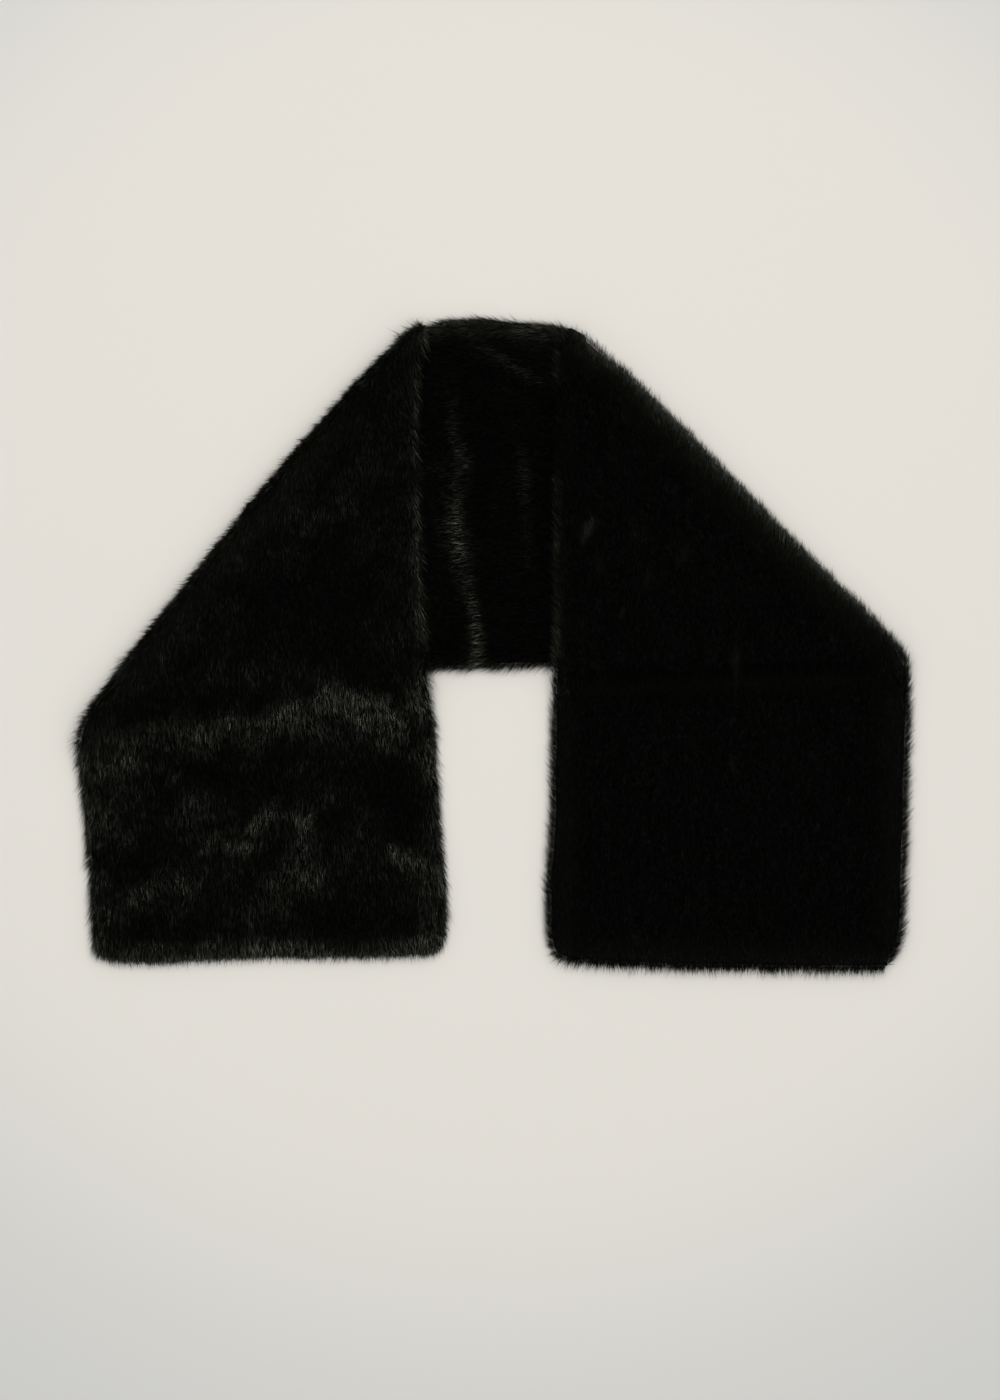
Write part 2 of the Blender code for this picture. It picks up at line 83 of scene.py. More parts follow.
# Layers of smooth waves: their size across, and their height in metres on the hide, in degrees
# where they turn the nap, and as shares of a pelt's unevenness where they raise its hair.
Wave = namedtuple("Wave", "size height seed")
HIDE_WAVES = (Wave(0.060, 0.0005, 3), Wave(0.024, 0.00025, 5))
TURN_WAVES = (Wave(0.070, 7, 1), Wave(0.022, 4, 2))
RISE_WAVES = (Wave(0.050, 1, 3), Wave(0.020, 0.6, 4))
# How many sines make up a layer, and how many turns each may have across its size.
WAVE_COUNT = 11
WAVE_TURNS = (0.6, 1.5)

# A coat of hair: its length and width, its rise off the hide at root and tip on flat cloth and
# over an edge, how far neighbouring hairs part in turn and rise, the size of its locks along and
# across the nap, and how far the tips of a lock draw together.
Coat = namedtuple(
    "Coat", "length width root_rise tip_rise edge_root_rise edge_tip_rise stray lock pull"
)
UNDERCOAT = Coat(0.0078, 0.00070, 48, 32, 58, 42, 8, (0.0110, 0.0060), 0.30)
GUARD_HAIR = Coat(0.0108, 0.00042, 44, 28, 54, 36, 7, (0.0110, 0.0060), 0.30)
FRINGE = Coat(0.0160, 0.00044, 46, 30, 56, 36, 9, (0.0030, 0.0030), 0.35)
# Share of a hair's length from its root to its bend, and the ranges that its length, its width
# and its roll are drawn from.
MIDDLE_SHARE = 0.42
LENGTH_RANGE = (0.72, 1.18)
WIDTH_RANGE = (0.7, 1.25)
ROLL_RANGE = (-1.15, 1.15)
# Upright hide has this many times as many hairs again as flat hide, and the fringe has only this
# share of hairs on flat hide.
EDGE_CROWD = 3.0
FRINGE_FLAT_SHARE = 0.04
# How fast a coat's rise goes over to its rise over an edge as the hide gets steeper.
EDGE_GAIN = 1.2
# No hide is taken to be turned over further than this, which is near upside down.
TURN_LIMIT = -0.95
# Where the nap runs out over an edge, hair is shorter by up to this share.
OVERHANG_TRIM = 0.25
# Share of the range from dark to light that neighbouring hairs differ by, and how far they part
# in rise, as a share of how far they part in turn.
SHADE_SPREAD = 0.03
STRAY_RISE_SHARE = 0.5
# How much whole locks differ in turn and rise, in degrees, and in length, as a share. Their cells
# are bent by waves, and each takes its numbers from a table of this size by two large primes.
LOCK_TURN = 6
LOCK_RISE = 3
LOCK_LENGTH = 0.12
LOCK_WARP = (Wave(0.03, 0.004, 71), Wave(0.03, 0.004, 72))
LOCK_TABLE = 8192
LOCK_NUMBERS = 4
LOCK_PRIMES = (73856093, 19349663)
# Degrees by which a full ruffle lays hair down or raises it, how fast it fades to its sides, and
# the least rise that is left.
FLATTEN = 30
RAISE = 12
RUFFLE_FADE = 0.9
LEAST_ROOT_RISE = 12
LEAST_TIP_RISE = 2
# No hair reaches higher than this above the table.
HAIR_TOP = 0.0490
# Hairs are seen this far along the nap from their roots, on average.
SEEN_REACH = 0.0070

# Ruffles: soft runs of hair that lie flatter (above 0) or stand more upright (below 0) than the
# rest, each a line of points in plan with its half-width and strength there.
Ruffle = namedtuple("Ruffle", "x y half_width strength")
LEFT_RUFFLES = (
    (
        Ruffle(-0.175, -0.037, 0.008, 0.10),
        Ruffle(-0.161, -0.044, 0.009, 0.30),
        Ruffle(-0.145, -0.053, 0.009, 0.20),
        Ruffle(-0.129, -0.068, 0.009, 0.60),
        Ruffle(-0.111, -0.077, 0.010, 1.00),
        Ruffle(-0.091, -0.087, 0.010, 0.90),
        Ruffle(-0.083, -0.093, 0.008, 0.50),
    ),
    (
        Ruffle(-0.202, -0.043, 0.009, -0.30),
        Ruffle(-0.201, -0.064, 0.009, -0.30),
        Ruffle(-0.202, -0.077, 0.008, -0.10),
    ),
    (
        Ruffle(-0.201, -0.086, 0.006, 0.10),
        Ruffle(-0.199, -0.096, 0.008, 0.40),
    ),
    (
        Ruffle(-0.278, -0.098, 0.008, 0.10),
        Ruffle(-0.228, -0.099, 0.008, 0.10),
        Ruffle(-0.163, -0.100, 0.008, 0.10),
        Ruffle(-0.118, -0.103, 0.010, 0.20),
        Ruffle(-0.081, -0.107, 0.010, 0.30),
    ),
    (
        Ruffle(-0.339, -0.091, 0.005, 0.30),
        Ruffle(-0.318, -0.098, 0.007, 0.50),
        Ruffle(-0.293, -0.102, 0.005, 0.30),
    ),
    (
        Ruffle(-0.403, -0.107, 0.006, 0.10),
        Ruffle(-0.385, -0.112, 0.008, 0.30),
        Ruffle(-0.361, -0.117, 0.008, 0.50),
        Ruffle(-0.351, -0.123, 0.006, 0.30),
    ),
    (
        Ruffle(-0.393, -0.126, 0.016, 0.30),
        Ruffle(-0.383, -0.155, 0.018, 0.35),
        Ruffle(-0.381, -0.180, 0.016, 0.30),
    ),
    (
        Ruffle(-0.301, -0.155, 0.010, 0.30),
        Ruffle(-0.283, -0.173, 0.010, 0.35),
    ),
    (
        Ruffle(-0.223, -0.164, 0.008, 0.60),
        Ruffle(-0.226, -0.173, 0.011, 1.00),
        Ruffle(-0.235, -0.183, 0.009, 0.90),
    ),
    (
        Ruffle(-0.289, -0.208, 0.007, 0.50),
        Ruffle(-0.281, -0.199, 0.009, 0.70),
        Ruffle(-0.271, -0.191, 0.006, 0.60),
        Ruffle(-0.267, -0.202, 0.007, 0.70),
        Ruffle(-0.253, -0.206, 0.007, 0.60),
        Ruffle(-0.243, -0.203, 0.005, 0.40),
    ),
    (
        Ruffle(-0.203, -0.171, 0.007, 0.40),
        Ruffle(-0.190, -0.177, 0.010, 0.60),
        Ruffle(-0.182, -0.196, 0.010, 0.60),
        Ruffle(-0.191, -0.210, 0.012, 0.50),
        Ruffle(-0.209, -0.224, 0.011, 0.40),
        Ruffle(-0.223, -0.239, 0.011, 0.40),
        Ruffle(-0.235, -0.261, 0.012, 0.30),
    ),
    (
        Ruffle(-0.181, -0.217, 0.013, 0.20),
        Ruffle(-0.188, -0.241, 0.013, 0.20),
        Ruffle(-0.208, -0.270, 0.012, 0.25),
    ),
    (
        Ruffle(-0.393, -0.266, 0.010, 0.25),
        Ruffle(-0.368, -0.257, 0.012, 0.35),
        Ruffle(-0.338, -0.245, 0.011, 0.40),
        Ruffle(-0.308, -0.235, 0.010, 0.30),
        Ruffle(-0.289, -0.222, 0.008, 0.30),
    ),
    (
        Ruffle(-0.109, -0.202, 0.005, 0.40),
        Ruffle(-0.099, -0.209, 0.009, 0.90),
        Ruffle(-0.085, -0.220, 0.010, 0.90),
        Ruffle(-0.068, -0.228, 0.012, 0.50),
    ),
    (
        Ruffle(-0.063, -0.235, 0.012, 0.40),
        Ruffle(-0.065, -0.266, 0.013, 0.35),
        Ruffle(-0.068, -0.295, 0.012, 0.50),
    ),
    (
        Ruffle(-0.268, -0.306, 0.006, 0.40),
        Ruffle(-0.238, -0.305, 0.008, 1.00),
        Ruffle(-0.188, -0.306, 0.008, 1.00),
        Ruffle(-0.163, -0.307, 0.005, 0.30),
    ),
    (
        Ruffle(-0.098, -0.304, 0.006, 0.40),
        Ruffle(-0.076, -0.302, 0.009, 0.90),
        Ruffle(-0.054, -0.296, 0.007, 0.60),
    ),
    (
        Ruffle(-0.398, -0.301, 0.010, 0.35),
        Ruffle(-0.343, -0.305, 0.009, 0.30),
        Ruffle(-0.253, -0.303, 0.010, 0.40),
        Ruffle(-0.163, -0.303, 0.009, 0.35),
        Ruffle(-0.063, -0.299, 0.009, 0.40),
    ),
    (
        Ruffle(-0.410, -0.116, 0.008, 0.20),
        Ruffle(-0.402, -0.141, 0.009, 0.40),
        Ruffle(-0.397, -0.180, 0.010, 0.50),
        Ruffle(-0.393, -0.231, 0.010, 0.40),
        Ruffle(-0.390, -0.290, 0.010, 0.40),
    ),
    (
        Ruffle(-0.070, -0.045, 0.009, 0.40),
        Ruffle(-0.066, -0.105, 0.009, 0.40),
        Ruffle(-0.060, -0.166, 0.009, 0.40),
        Ruffle(-0.057, -0.226, 0.009, 0.40),
        Ruffle(-0.054, -0.285, 0.009, 0.50),
    ),
    (
        Ruffle(-0.078, 0.270, 0.006, 0.20),
        Ruffle(-0.078, 0.144, 0.006, 0.25),
        Ruffle(-0.077, 0.004, 0.006, 0.30),
    ),
    (
        Ruffle(-0.411, -0.098, 0.018, -1.40),
        Ruffle(-0.381, -0.089, 0.021, -1.50),
        Ruffle(-0.350, -0.081, 0.022, -1.40),
        Ruffle(-0.303, -0.075, 0.022, -1.50),
        Ruffle(-0.253, -0.068, 0.020, -1.40),
        Ruffle(-0.231, -0.061, 0.017, -1.40),
        Ruffle(-0.215, -0.056, 0.010, -1.10),
    ),
    (
        Ruffle(-0.187, -0.042, 0.006, -1.10),
        Ruffle(-0.182, -0.071, 0.011, -1.30),
        Ruffle(-0.158, -0.077, 0.009, -1.20),
        Ruffle(-0.145, -0.084, 0.006, -0.80),
    ),
    (
        Ruffle(-0.143, -0.019, 0.012, -1.10),
        Ruffle(-0.109, -0.042, 0.014, -1.60),
        Ruffle(-0.089, -0.058, 0.013, -1.50),
    ),
    (
        Ruffle(-0.343, -0.107, 0.005, -0.80),
        Ruffle(-0.302, -0.127, 0.009, -1.00),
        Ruffle(-0.263, -0.136, 0.010, -1.00),
        Ruffle(-0.225, -0.143, 0.009, -0.80),
    ),
    (
        Ruffle(-0.270, -0.120, 0.014, -0.60),
        Ruffle(-0.190, -0.113, 0.014, -0.70),
    ),
    (
        Ruffle(-0.261, 0.054, 0.014, -0.90),
        Ruffle(-0.231, 0.050, 0.016, -1.30),
        Ruffle(-0.193, 0.044, 0.024, -1.20),
        Ruffle(-0.148, 0.044, 0.030, -1.40),
        Ruffle(-0.148, 0.089, 0.022, -1.30),
    ),
    (
        Ruffle(-0.293, 0.009, 0.016, -0.40),
        Ruffle(-0.203, 0.009, 0.022, -0.80),
        Ruffle(-0.148, 0.009, 0.024, -1.00),
    ),
    (
        Ruffle(-0.126, -0.130, 0.022, -0.70),
        Ruffle(-0.095, -0.155, 0.022, -1.10),
        Ruffle(-0.095, -0.188, 0.016, -0.90),
    ),
    (
        Ruffle(-0.183, -0.271, 0.016, -0.70),
        Ruffle(-0.148, -0.278, 0.024, -1.10),
        Ruffle(-0.098, -0.271, 0.018, -0.90),
    ),
    (
        Ruffle(-0.398, -0.217, 0.012, -0.60),
        Ruffle(-0.353, -0.217, 0.014, -0.80),
        Ruffle(-0.321, -0.198, 0.010, -0.50),
    ),
    (
        Ruffle(-0.380, -0.289, 0.010, -0.50),
        Ruffle(-0.303, -0.283, 0.014, -0.60),
        Ruffle(-0.258, -0.281, 0.010, -0.40),
    ),
    (
        Ruffle(-0.253, -0.155, 0.010, -0.50),
        Ruffle(-0.250, -0.175, 0.006, -0.50),
    ),
    (
        Ruffle(-0.213, -0.205, 0.006, -0.60),
        Ruffle(-0.231, -0.217, 0.007, -0.60),
        Ruffle(-0.247, -0.235, 0.008, -0.40),
    ),
)
RIGHT_RUFFLES = (
    (
        Ruffle(0.060, -0.044, 0.016, 0.75),
        Ruffle(0.160, -0.038, 0.016, 0.75),
        Ruffle(0.290, -0.032, 0.016, 0.75),
        Ruffle(0.410, -0.026, 0.016, 0.75),
    ),
    (
        Ruffle(0.066, 0.126, 0.005, 0.30),
        Ruffle(0.095, 0.119, 0.008, 0.50),
        Ruffle(0.107, 0.122, 0.005, 0.40),
    ),
    (
        Ruffle(0.132, 0.129, 0.004, 0.40),
        Ruffle(0.142, 0.120, 0.008, 0.40),
        Ruffle(0.155, 0.070, 0.010, 0.30),
        Ruffle(0.191, 0.094, 0.008, 0.30),
    ),
    (
        Ruffle(0.244, -0.008, 0.004, 0.40),
        Ruffle(0.246, -0.022, 0.006, 0.60),
        Ruffle(0.240, -0.040, 0.005, 0.20),
    ),
    (
        Ruffle(0.242, -0.112, 0.004, 0.30),
        Ruffle(0.238, -0.120, 0.003, 0.20),
    ),
    (
        Ruffle(0.202, -0.292, 0.004, 0.50),
        Ruffle(0.210, -0.296, 0.003, 0.30),
    ),
    (
        Ruffle(0.063, 0.285, 0.003, 0.90),
        Ruffle(0.063, -0.006, 0.003, 0.90),
    ),
    (
        Ruffle(0.143, 0.246, 0.010, 0.30),
        Ruffle(0.325, 0.066, 0.010, 0.30),
    ),
)
NECK_RUFFLES = (
    (
        Ruffle(-0.037, 0.255, 0.004, 0.20),
        Ruffle(-0.041, 0.230, 0.005, 0.35),
        Ruffle(-0.040, 0.209, 0.006, 0.45),
        Ruffle(-0.031, 0.198, 0.008, 0.65),
        Ruffle(-0.025, 0.179, 0.011, 0.95),
        Ruffle(-0.022, 0.167, 0.007, 0.45),
        Ruffle(-0.031, 0.154, 0.010, 0.60),
        Ruffle(-0.035, 0.138, 0.014, 0.70),
        Ruffle(-0.035, 0.119, 0.016, 0.95),
        Ruffle(-0.028, 0.095, 0.015, 0.95),
        Ruffle(-0.024, 0.072, 0.011, 0.75),
        Ruffle(-0.023, 0.057, 0.008, 0.70),
        Ruffle(-0.019, 0.033, 0.008, 0.95),
        Ruffle(-0.016, 0.004, 0.009, 1.05),
        Ruffle(-0.015, -0.018, 0.009, 1.15),
    ),
    (
        Ruffle(-0.072, 0.173, 0.006, 0.40),
        Ruffle(-0.056, 0.174, 0.007, 0.55),
    ),
    (
        Ruffle(0.028, 0.193, 0.004, 0.45),
        Ruffle(0.033, 0.165, 0.006, 0.70),
        Ruffle(0.036, 0.133, 0.006, 0.50),
        Ruffle(0.035, 0.111, 0.005, 0.60),
        Ruffle(0.037, 0.076, 0.005, 0.60),
    ),
    (
        Ruffle(-0.026, 0.318, 0.006, 0.40),
        Ruffle(-0.008, 0.295, 0.008, 0.60),
        Ruffle(0.014, 0.280, 0.008, 0.85),
        Ruffle(0.038, 0.267, 0.006, 0.80),
        Ruffle(0.054, 0.256, 0.005, 0.60),
    ),
    (
        Ruffle(-0.063, 0.311, 0.008, 0.80),
        Ruffle(-0.038, 0.318, 0.009, 0.90),
        Ruffle(0.002, 0.319, 0.010, 1.00),
        Ruffle(0.020, 0.315, 0.012, 1.10),
        Ruffle(0.060, 0.310, 0.012, 1.10),
    ),
)

# Painted sheen: runs where the hair is coloured paler in place of glints and rim light, with the same
# four values.
LEFT_PAINTED_SHEEN = (
    (
        Ruffle(-0.403, -0.025, 0.010, 0.45),
        Ruffle(-0.361, 0.022, 0.013, 0.95),
        Ruffle(-0.263, 0.134, 0.013, 0.95),
        Ruffle(-0.191, 0.214, 0.013, 0.90),
        Ruffle(-0.115, 0.296, 0.012, 0.55),
        Ruffle(-0.079, 0.310, 0.011, 0.60),
    ),
    (
        Ruffle(-0.077, 0.270, 0.004, 0.20),
        Ruffle(-0.076, 0.144, 0.004, 0.26),
        Ruffle(-0.073, 0.004, 0.004, 0.24),
    ),
    (
        Ruffle(-0.385, -0.041, 0.016, 0.15),
        Ruffle(-0.252, 0.108, 0.016, 0.16),
        Ruffle(-0.172, 0.208, 0.016, 0.15),
    ),
    (
        Ruffle(-0.393, -0.056, 0.020, 0.07),
        Ruffle(-0.388, -0.116, 0.020, 0.03),
    ),
    (
        Ruffle(-0.363, -0.311, 0.006, 0.05),
        Ruffle(-0.253, -0.309, 0.008, 0.06),
        Ruffle(-0.063, -0.303, 0.008, 0.05),
    ),
)
RIGHT_PAINTED_SHEEN = (
    (
        Ruffle(0.063, 0.299, 0.004, 0.95),
        Ruffle(0.064, 0.144, 0.004, 0.90),
        Ruffle(0.065, -0.005, 0.004, 0.70),
    ),
    (
        Ruffle(0.079, 0.306, 0.012, 0.22),
        Ruffle(0.103, 0.288, 0.012, 0.16),
        Ruffle(0.141, 0.248, 0.013, 0.11),
        Ruffle(0.235, 0.154, 0.014, 0.11),
        Ruffle(0.325, 0.065, 0.014, 0.11),
        Ruffle(0.403, -0.015, 0.014, 0.11),
    ),
    (
        Ruffle(0.400, -0.045, 0.012, 0.10),
        Ruffle(0.397, -0.285, 0.012, 0.10),
    ),
    (
        Ruffle(0.377, -0.310, 0.012, 0.11),
        Ruffle(0.107, -0.307, 0.012, 0.10),
    ),
    (
        Ruffle(0.073, -0.295, 0.010, 0.09),
        Ruffle(0.073, -0.045, 0.010, 0.07),
    ),
    (
        Ruffle(0.077, -0.043, 0.008, 0.05),
        Ruffle(0.157, -0.038, 0.008, 0.06),
        Ruffle(0.287, -0.034, 0.008, 0.06),
        Ruffle(0.397, -0.028, 0.008, 0.06),
    ),
    (
        Ruffle(0.143, -0.291, 0.004, 0.20),
        Ruffle(0.149, -0.295, 0.003, 0.12),
    ),
    (
        Ruffle(0.089, 0.106, 0.0025, 0.50),
        Ruffle(0.094, 0.116, 0.004, 0.75),
        Ruffle(0.099, 0.127, 0.0025, 0.50),
    ),
    (
        Ruffle(0.106, 0.079, 0.005, 0.14),
        Ruffle(0.107, 0.088, 0.005, 0.14),
    ),
    (
        Ruffle(0.152, 0.061, 0.004, 0.11),
        Ruffle(0.154, 0.070, 0.004, 0.11),
    ),
    (
        Ruffle(0.189, 0.086, 0.004, 0.12),
        Ruffle(0.192, 0.097, 0.003, 0.10),
    ),
    (
        Ruffle(0.128, 0.032, 0.002, 0.35),
        Ruffle(0.130, 0.037, 0.002, 0.35),
    ),
    (
        Ruffle(0.100, -0.017, 0.002, 0.24),
        Ruffle(0.107, -0.018, 0.002, 0.24),
    ),
    (
        Ruffle(0.242, -0.002, 0.003, 0.32),
        Ruffle(0.240, -0.013, 0.004, 0.55),
        Ruffle(0.242, -0.029, 0.002, 0.20),
        Ruffle(0.242, -0.051, 0.002, 0.08),
    ),
    (
        Ruffle(0.238, -0.113, 0.002, 0.26),
        Ruffle(0.240, -0.121, 0.002, 0.30),
    ),
)
NECK_PAINTED_SHEEN = (
    (
        Ruffle(-0.073, 0.315, 0.009, 0.06),
        Ruffle(-0.023, 0.322, 0.007, 0.11),
        Ruffle(0.007, 0.323, 0.009, 0.15),
        Ruffle(0.042, 0.319, 0.010, 0.19),
        Ruffle(0.069, 0.315, 0.010, 0.17),
    ),
    (
        Ruffle(0.043, 0.299, 0.010, 0.04),
        Ruffle(0.055, 0.273, 0.008, 0.03),
    ),
)

# A pelt: its solid, its name, which way its hair faces, its nap in plan, its hair's extra rise and
# how uneven that is, how much further in its hide lies where it is steep, where the nap runs out
# over an edge and where it runs in from one, the number of hairs in each coat, its guard hair's
# material, its slot, its seed, its ruffles and runs of painted sheen, and the lines where its hide is
# cut.
Pelt = namedtuple(
    "Pelt",
    "node name side nap lift uneven insets undercoat guard fringe look slot seed ruffles pale cuts",
)
PELTS = (
    Pelt(
        "left_front_upper_face", "left_front", 1, (0.06, -1.0), 0, 4.5, (0.0020, 0.0026, 0.0),
        50000, 92000, 8000, "guard_hair", "outer_fur", 11, LEFT_RUFFLES, LEFT_PAINTED_SHEEN, (),
    ),
    Pelt(
        "right_front_upper_face", "right_front", 1, (-0.03, 1.0), 8, 2.5, (0.0020, 0.0050, 0.0018),
        50000, 92000, 8000, "shaded_guard_hair", "outer_fur", 23, RIGHT_RUFFLES, RIGHT_PAINTED_SHEEN,
        (RIGHT_TOP_CUT,),
    ),
    Pelt(
        "neck_upper_face", "neck", 1, (-1.0, -0.12), 11, 2.0, (0.0022, 0.0026, 0.0),
        24000, 42000, 1500, "guard_hair", "inner_fur", 37, NECK_RUFFLES, NECK_PAINTED_SHEEN, NECK_CUTS,
    ),
    Pelt(
        "left_front_under_face", "left_front_back", -1, (0.06, -1.0), 0, 3.0, (0.0004, 0.0020, 0.0),
        12000, 18000, 3000, "guard_hair", "inner_fur", 41, (), LEFT_PAINTED_SHEEN, (LEFT_FOLD_CUT,),
    ),
    Pelt(
        "right_front_under_face", "right_front_back", -1, (-0.03, 1.0), 0, 3.0,
        (0.0004, 0.0036, 0.0014), 12000, 18000, 3000, "shaded_guard_hair", "inner_fur", 53, (),
        RIGHT_PAINTED_SHEEN, (RIGHT_FOLD_CUT,),
    ),
    Pelt(
        "neck_under_face", "neck_back", -1, (-1.0, -0.08), 0, 3.0, (0.0010, 0.0026, 0.0),
        12000, 18000, 3000, "guard_hair", "outer_fur", 67, (), NECK_PAINTED_SHEEN, (),
    ),
)


def unit(vectors):
    """Vectors at length 1."""
    return vectors / np.maximum(np.linalg.norm(vectors, axis=1, keepdims=True), 1e-9)


def waves(points, size, seed):
    """Smooth noise, mostly between -1 and 1, at points in plan."""
    rng = np.random.default_rng(seed)
    total = np.zeros(len(points))
    for _ in range(WAVE_COUNT):
        angle = rng.uniform(0, 2 * math.pi)
        turns = rng.uniform(*WAVE_TURNS) * 2 * math.pi / size
        phase = rng.uniform(0, 2 * math.pi)
        across = points[:, 0] * math.cos(angle) + points[:, 1] * math.sin(angle)
        total += np.sin(across * turns + phase)
    return total / math.sqrt(WAVE_COUNT)


def layered(points, layers, seed):
    """Sum of several layers of waves at points in plan."""
    return sum(layer.height * waves(points, layer.size, layer.seed + seed) for layer in layers)


def trim(mesh, place, away):
    """Cuts off what lies beyond a line in plan."""
    bmesh.ops.bisect_plane(
        mesh,
        geom=[*mesh.verts, *mesh.edges, *mesh.faces],
        plane_co=(*place, 0),
        plane_no=(*away, 0),
        clear_outer=True,
    )


def largest_part(mesh):
    """Removes all but the largest connected part."""
    left = set(mesh.faces)
    parts = []
    while left:
        stack = [left.pop()]
        part = []
        while stack:
            face = stack.pop()
            part.append(face)
            for edge in face.edges:
                for other in edge.link_faces:
                    if other in left:
                        left.remove(other)
                        stack.append(other)
        parts.append(part)
    parts.sort(key=len)
    for part in parts[:-1]:
        bmesh.ops.delete(mesh, geom=part, context="FACES")


def hide_object(pelt):
    """Thin hide on the outer side of a pelt's solid, moved in to lie under the hair."""
    mesh = bmesh.new()
    mesh.from_mesh(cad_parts[pelt.node].data)
    bmesh.ops.remove_doubles(mesh, verts=mesh.verts, dist=WELD)
    hidden = [face for face in mesh.faces if face.normal.z * pelt.side < OUTER_LIMIT]
    bmesh.ops.delete(mesh, geom=hidden, context="FACES")
    for place, away in pelt.cuts:
        trim(mesh, place, away)
    largest_part(mesh)
    bmesh.ops.join_triangles(
        mesh, faces=mesh.faces, angle_face_threshold=JOIN_ANGLE, angle_shape_threshold=JOIN_ANGLE
    )
    data = bpy.data.meshes.new(pelt.name + "_hide")
    mesh.to_mesh(data)
    mesh.free()
    hide = bpy.data.objects.new(pelt.name + "_hide", data)
    bpy.context.scene.collection.objects.link(hide)
    smooth = hide.modifiers.new("smooth", "SUBSURF")
    smooth.levels = 1
    smooth.render_levels = 1
    apply_modifiers(hide)
    count = len(hide.data.vertices)
    points = np.empty(count * 3)
    hide.data.vertices.foreach_get("co", points)
    points = points.reshape(-1, 3)
    normals = vertex_normals(hide.data)
    steep = np.clip(1 - normals[:, 2] * pelt.side, 0, 1)
    at_edge, running_out, running_in = pelt.insets
    out = overhang(pelt, normals)
    inset = HIDE_INSET + at_edge * steep + running_out * np.maximum(out, 0)
    inset -= running_in * np.minimum(out, 0)
    points = points - normals * inset[:, None]
    for wave in HIDE_WAVES:
        points += normals * (waves(points, wave.size, wave.seed + pelt.seed) * wave.height)[:, None]
    points[:, 2] = np.clip(points[:, 2], FLOOR_CLEARANCE, HIDE_TOP)
    hide.data.vertices.foreach_set("co", points.ravel())
    hide.data.update()
    return hide


def overhang(pelt, normals):
    """How far the nap runs out over an edge: 0 on flat cloth, 1 at most, below 0 where it runs in."""
    return normals[:, :2] @ (np.array(pelt.nap) / math.hypot(*pelt.nap))


def apply_modifiers(obj):
    """Gives an object the mesh that its modifiers make, and clears them."""
    graph = bpy.context.evaluated_depsgraph_get()
    baked = bpy.data.meshes.new_from_object(obj.evaluated_get(graph))
    old = obj.data
    name = old.name
    obj.modifiers.clear()
    obj.data = baked
    bpy.data.meshes.remove(old)
    baked.name = name


def vertex_normals(data):
    """Normals of a mesh's points, as an array."""
    normals = np.empty(len(data.vertices) * 3)
    data.vertices.foreach_get("normal", normals)
    return normals.reshape(-1, 3)


def scatter(data, count, rng, flat_share):
    """Random roots and normals on a mesh, crowded where it turns over an edge."""
    data.calc_loop_triangles()
    corners = np.empty(len(data.loop_triangles) * 3, np.int64)
    data.loop_triangles.foreach_get("vertices", corners)
    corners = corners.reshape(-1, 3)
    points = np.empty(len(data.vertices) * 3)
    data.vertices.foreach_get("co", points)
    points = points.reshape(-1, 3)
    normals = vertex_normals(data)
    first, second, third = (points[corners[:, side]] for side in range(3))
    crossed = np.cross(second - first, third - first)
    area = np.linalg.norm(crossed, axis=1) / 2
    steep = 1 - np.abs(unit(crossed)[:, 2])
    reach = np.cumsum(area * (flat_share + EDGE_CROWD * steep))
    picks = (np.arange(count) + rng.random(count)) / count * reach[-1]
    chosen = corners[np.minimum(np.searchsorted(reach, picks), len(corners) - 1)]
    root = np.sqrt(rng.random(count))
    other = rng.random(count)
    shares = np.stack([1 - root, root * (1 - other), root * other], axis=1)
    roots = np.einsum("nk,nkc->nc", shares, points[chosen])
    return roots, unit(np.einsum("nk,nkc->nc", shares, normals[chosen]))


def ruffled(points, runs):
    """Strength of the ruffles at points in plan, where the strongest of all runs counts."""
    total = np.zeros(len(points))
    for run in runs:
        nearest = np.full(len(points), np.inf)
        strength = np.zeros(len(points))
        for start, end in zip(run, run[1:]):
            step = np.array((end.x - start.x, end.y - start.y))
            offset = points[:, :2] - (start.x, start.y)
            along = np.clip(offset @ step / (step @ step), 0, 1)
            gap = np.linalg.norm(offset - along[:, None] * step, axis=1)
            reach = gap / (start.half_width + (end.half_width - start.half_width) * along)
            here = reach < nearest
            nearest[here] = reach[here]
            strength[here] = (start.strength + (end.strength - start.strength) * along)[here]
        amount = strength * np.exp(-RUFFLE_FADE * nearest * nearest)
        total = np.where(np.abs(amount) > np.abs(total), amount, total)
    return total


def turned(vectors, flat, normals):
    """Vectors on flat cloth, carried over to where its normal is another one."""
    axis = np.cross(flat, normals)
    level = (normals @ flat)[:, None]
    along = np.einsum("nc,nc->n", axis, vectors)[:, None]
    share = axis * along / (1 + np.maximum(level, TURN_LIMIT))
    return vectors * level + np.cross(axis, vectors) + share


def lock_numbers(cells, seed):
    """Numbers from -1 to 1 for each lock's cell."""
    table = np.random.default_rng(seed).uniform(-1, 1, (LOCK_TABLE, LOCK_NUMBERS))
    index = (cells[:, 0] * LOCK_PRIMES[0] ^ cells[:, 1] * LOCK_PRIMES[1]) & (LOCK_TABLE - 1)
    return table[index]


